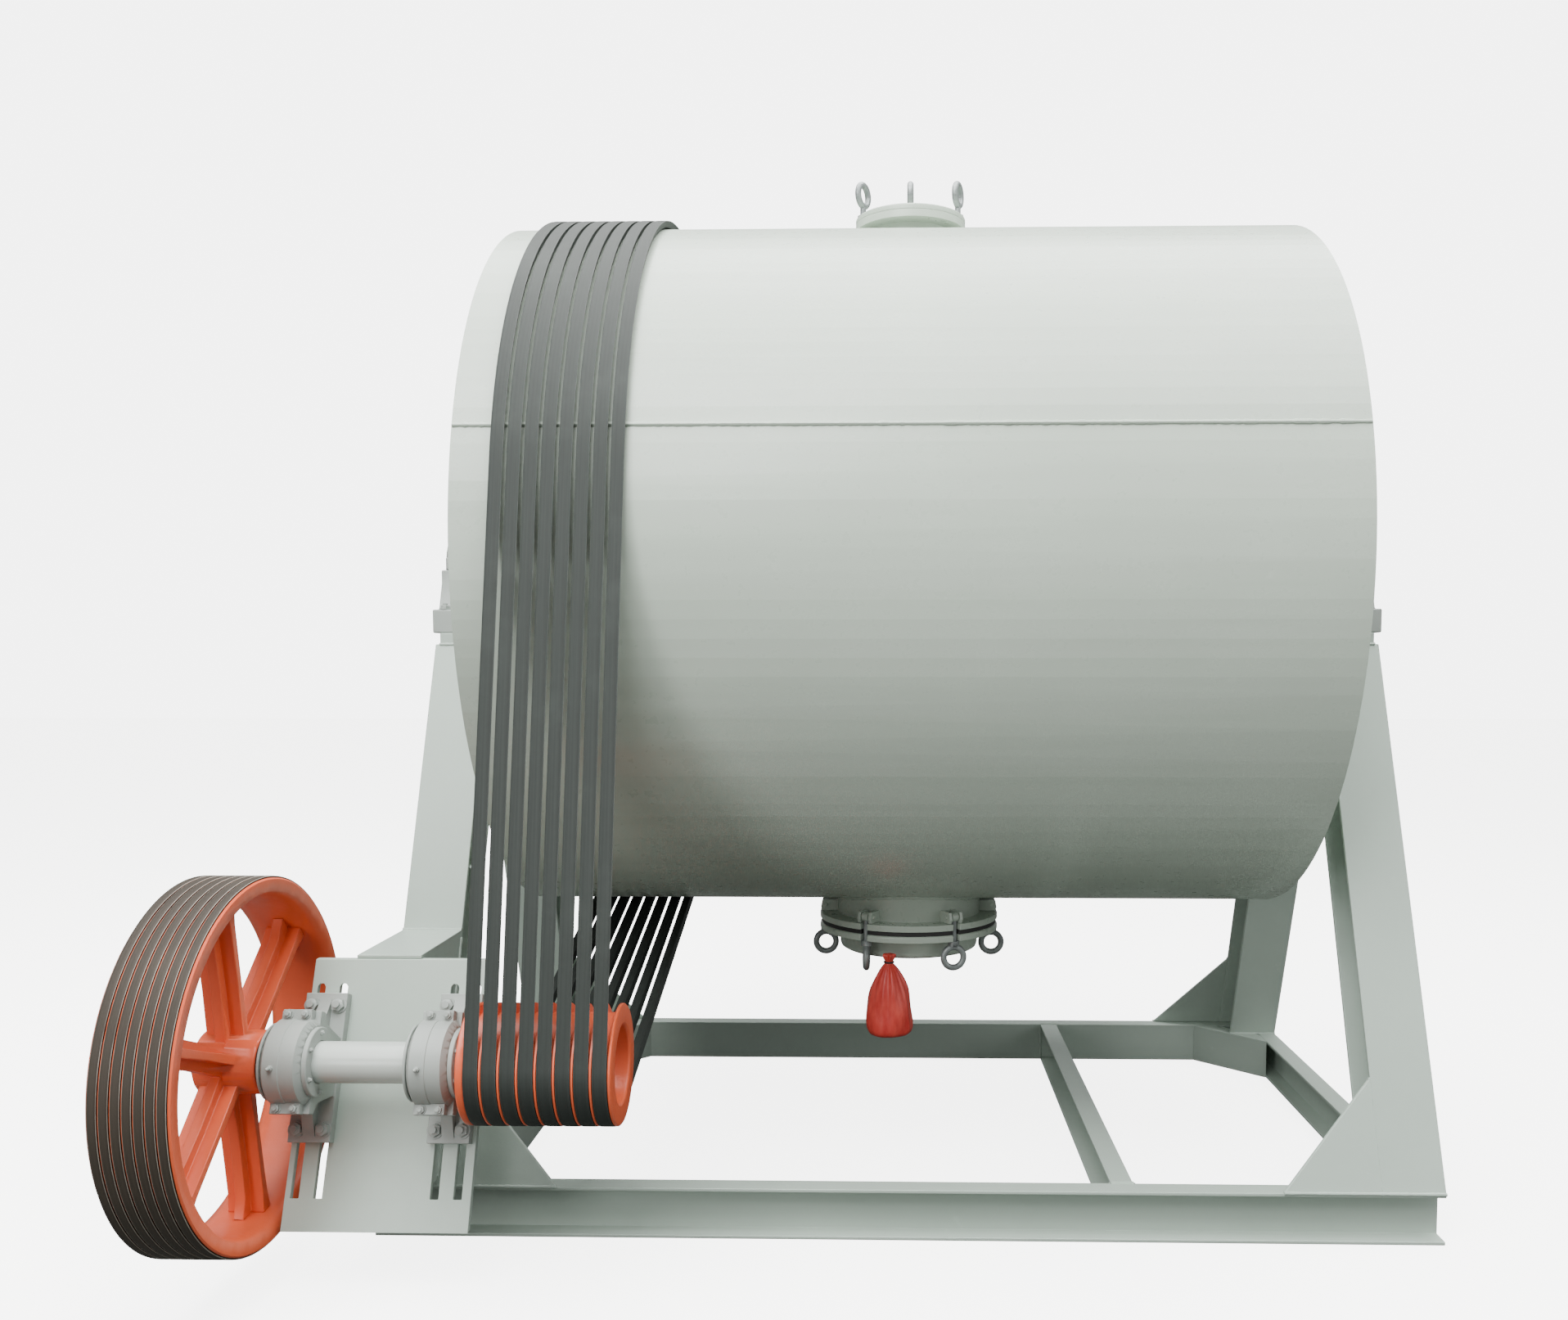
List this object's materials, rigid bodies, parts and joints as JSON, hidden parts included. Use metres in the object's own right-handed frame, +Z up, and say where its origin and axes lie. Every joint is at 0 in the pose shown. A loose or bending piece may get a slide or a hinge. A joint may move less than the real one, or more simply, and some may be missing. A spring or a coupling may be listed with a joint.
{
  "type": "ball mill",
  "caption": "Batch ball mill: a horizontal steel drum on trunnion bearings over a welded frame, turned by V-belts from a jackshaft with a spoked pulley.",
  "frame": {"origin": "on the ground, at the middle of the whole machine's length and depth; the middle of the drum is 122.5 mm to the right of it and 248.5 mm behind it", "axes": "+X along the drum's axis away from the belt drive, +Y to the rear away from the jackshaft, +Z up"},
  "size_m": [2.747, 2.339, 2.6525],
  "materials": {
    "grey_paint": "satin grey-green paint",
    "orange_paint": "orange-red paint",
    "belt_rubber": "matt rubber and cloth",
    "black_rubber": "matt",
    "red_bag": "thin red plastic film"
  },
  "bodies": {
    "frame": {"front_rail": "grey_paint", "rear_rail": "grey_paint", "middle_cross_beam": "grey_paint", "right_end_beam": "grey_paint", "left_inner_beam": "grey_paint", "left_end_beam": "grey_paint", "right_corner_brace": "grey_paint", "left_corner_brace": "grey_paint", "front_left_leg": "grey_paint", "front_right_leg": "grey_paint", "rear_left_leg": "grey_paint", "rear_right_leg": "grey_paint", "front_gussets": "grey_paint", "rear_gussets": "grey_paint", "left_bearing_seat": "grey_paint", "left_bearing_base": "grey_paint", "left_bearing_cap": "grey_paint", "right_bearing_seat": "grey_paint", "right_bearing_base": "grey_paint", "right_bearing_cap": "grey_paint", "mount_plate": "grey_paint", "mount_bracket": "grey_paint", "leg_lug": "grey_paint", "left_pillow_base": "grey_paint", "left_pillow_cap": "grey_paint", "right_pillow_base": "grey_paint", "right_pillow_cap": "grey_paint", "drive_belts": "belt_rubber"},
    "drum": {"drum_shell_front": "grey_paint", "drum_shell_top": "grey_paint", "drum_shell_rear": "grey_paint", "left_head": "grey_paint", "right_head": "grey_paint", "left_trunnion": "grey_paint", "right_trunnion": "grey_paint", "manhole_neck": "grey_paint", "manhole_gasket": "black_rubber", "manhole_cover": "grey_paint", "manhole_bolts": "grey_paint", "port_neck": "grey_paint", "port_cover": "grey_paint", "port_bolts": "grey_paint", "parts_bag": "red_bag"},
    "jackshaft": {"jackshaft": "grey_paint", "small_pulley": "orange_paint", "big_pulley_rim": "orange_paint", "big_pulley_spokes": "orange_paint", "motor_belts": "belt_rubber", "seal_ring": "black_rubber"}
  },
  "joints": [
    {"name": "drum_spin", "type": "hinge", "parent": "frame", "child": "drum", "pos_m": [0.1225, 0.2485, 1.584], "axis": [1, 0, 0], "continuous": true},
    {"name": "jackshaft_spin", "type": "hinge", "parent": "frame", "child": "jackshaft", "pos_m": [-0.8775, -0.7815, 0.5], "axis": [1, 0, 0], "continuous": true}
  ],
  "couplings": [
    {"joint": "jackshaft_spin", "follows": "drum_spin", "ratio": 7.7373}
  ]
}
